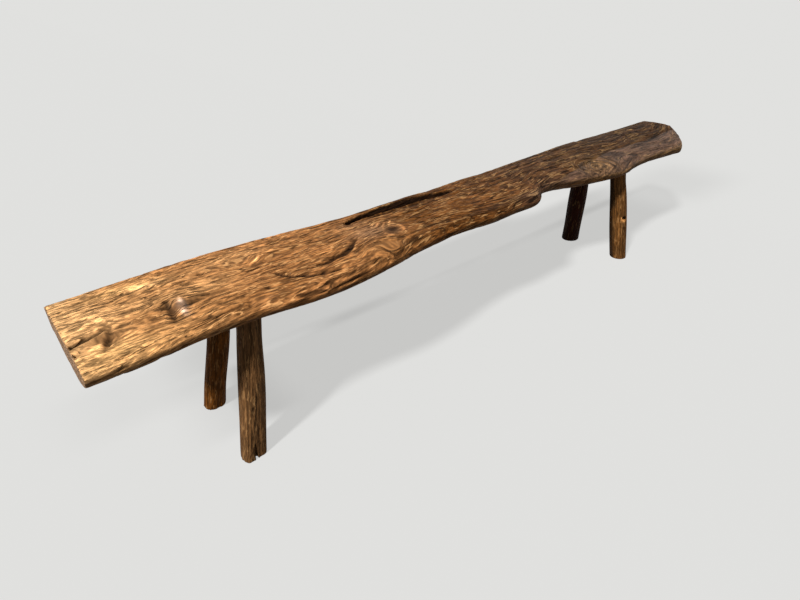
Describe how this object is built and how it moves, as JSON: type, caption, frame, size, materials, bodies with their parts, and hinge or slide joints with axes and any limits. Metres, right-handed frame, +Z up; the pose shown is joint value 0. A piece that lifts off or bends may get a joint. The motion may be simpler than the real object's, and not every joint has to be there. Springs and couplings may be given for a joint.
{
  "type": "rustic log bench",
  "caption": "Rustic half-log bench with a waney front edge, on splayed round legs wedged into blind mortises.",
  "frame": {"origin": "on the floor, under the centre of the bench's bounding box", "axes": "+X along the seat towards its rounded end, +Y towards the back edge, +Z up"},
  "size_m": [2.531, 0.3474, 0.4432],
  "materials": {
    "seat_wood": "weathered hardwood, worn smooth, oiled",
    "leg_wood": "peeled pole, weathered and oiled",
    "wedge_wood": "split dry hardwood, bare"
  },
  "bodies": {
    "root": {"seat": "seat_wood", "leg_front_left": "leg_wood", "leg_back_left": "leg_wood", "leg_front_right": "leg_wood", "leg_back_right": "leg_wood", "wedge_front_left": "wedge_wood", "wedge_back_left": "wedge_wood", "wedge_front_right": "wedge_wood", "wedge_back_right": "wedge_wood"}
  },
  "joints": []
}
